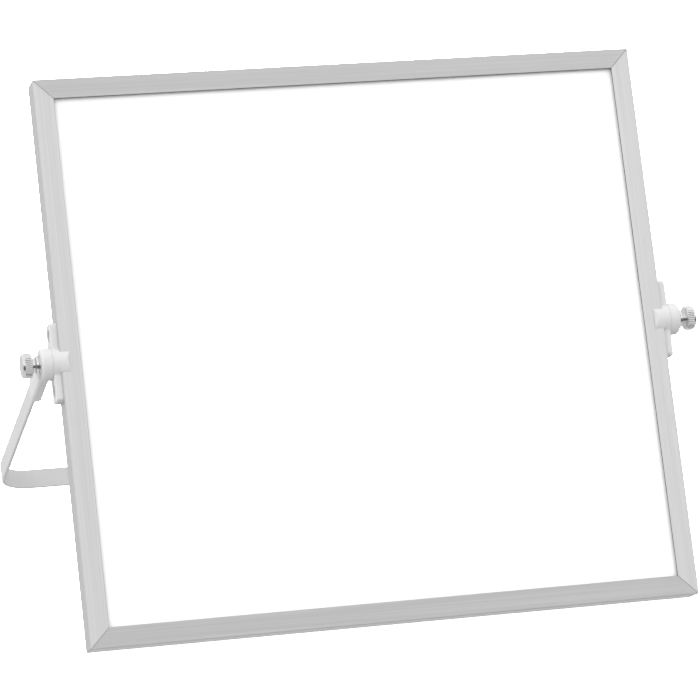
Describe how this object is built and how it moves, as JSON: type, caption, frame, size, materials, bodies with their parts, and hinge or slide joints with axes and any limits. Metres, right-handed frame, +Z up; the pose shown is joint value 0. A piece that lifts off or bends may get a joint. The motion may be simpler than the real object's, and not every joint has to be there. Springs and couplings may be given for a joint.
{
  "type": "desk whiteboard easel",
  "caption": "Double-sided magnetic whiteboard in a mitred aluminium frame, turning on thumb screws between the arms of a U-shaped white steel desk stand.",
  "frame": {"origin": "on the desk, under the middle of the whole object's box", "axes": "+X to the right of a person facing the writing side, +Y away from that person towards the stand's cross bar, +Z up"},
  "size_m": [0.392, 0.2486, 0.2789],
  "materials": {
    "frame_aluminium": "satin brushed anodised extrusion",
    "key_alloy": "as cast",
    "writing_sheet": "gloss white dry-wipe lacquer on steel",
    "core_board": "raw light fibreboard",
    "white_plastic": "satin moulded",
    "white_powder_coat": "satin powder coat on flat steel",
    "nylon": "natural nylon",
    "zinc_steel": "bright zinc plated",
    "chrome": "polished chrome plate"
  },
  "bodies": {
    "stand": {"stand_strap": "white_powder_coat", "left_arm_socket": "white_plastic", "right_arm_socket": "white_plastic", "left_friction_washer": "nylon", "right_friction_washer": "nylon"},
    "board": {"top_rail": "frame_aluminium", "bottom_rail": "frame_aluminium", "left_rail": "frame_aluminium", "right_rail": "frame_aluminium", "corner_keys": "key_alloy", "front_sheet": "writing_sheet", "back_sheet": "writing_sheet", "panel_core": "core_board", "left_bracket": "white_plastic", "right_bracket": "white_plastic", "left_bracket_screws": "zinc_steel", "right_bracket_screws": "zinc_steel", "left_captive_nut": "zinc_steel", "right_captive_nut": "zinc_steel"},
    "left_washer": {"left_flat_washer": "chrome"},
    "left_screw": {"left_thumb_screw": "chrome"},
    "right_washer": {"right_flat_washer": "chrome"},
    "right_screw": {"right_thumb_screw": "chrome"}
  },
  "joints": [
    {"name": "board_tilt", "type": "hinge", "parent": "stand", "child": "board", "pos_m": [0, -0.03335, 0.13944], "axis": [1, 0, 0], "continuous": true},
    {"name": "left_screw_travel", "type": "slide", "parent": "board", "child": "left_washer", "axis": [-1, 0, 0], "range_m": [0, 0.0032]},
    {"name": "left_screw_turn", "type": "hinge", "parent": "left_washer", "child": "left_screw", "pos_m": [-0.185, -0.03335, 0.13944], "axis": [-1, 0, 0], "range_deg": [0, 1440]},
    {"name": "right_screw_travel", "type": "slide", "parent": "board", "child": "right_washer", "axis": [1, 0, 0], "range_m": [0, 0.0032]},
    {"name": "right_screw_turn", "type": "hinge", "parent": "right_washer", "child": "right_screw", "pos_m": [0.185, -0.03335, 0.13944], "axis": [1, 0, 0], "range_deg": [0, 1440]}
  ],
  "couplings": [
    {"joint": "left_screw_travel", "follows": "left_screw_turn", "m_per_rad": 0.00012732},
    {"joint": "right_screw_travel", "follows": "right_screw_turn", "m_per_rad": 0.00012732}
  ]
}
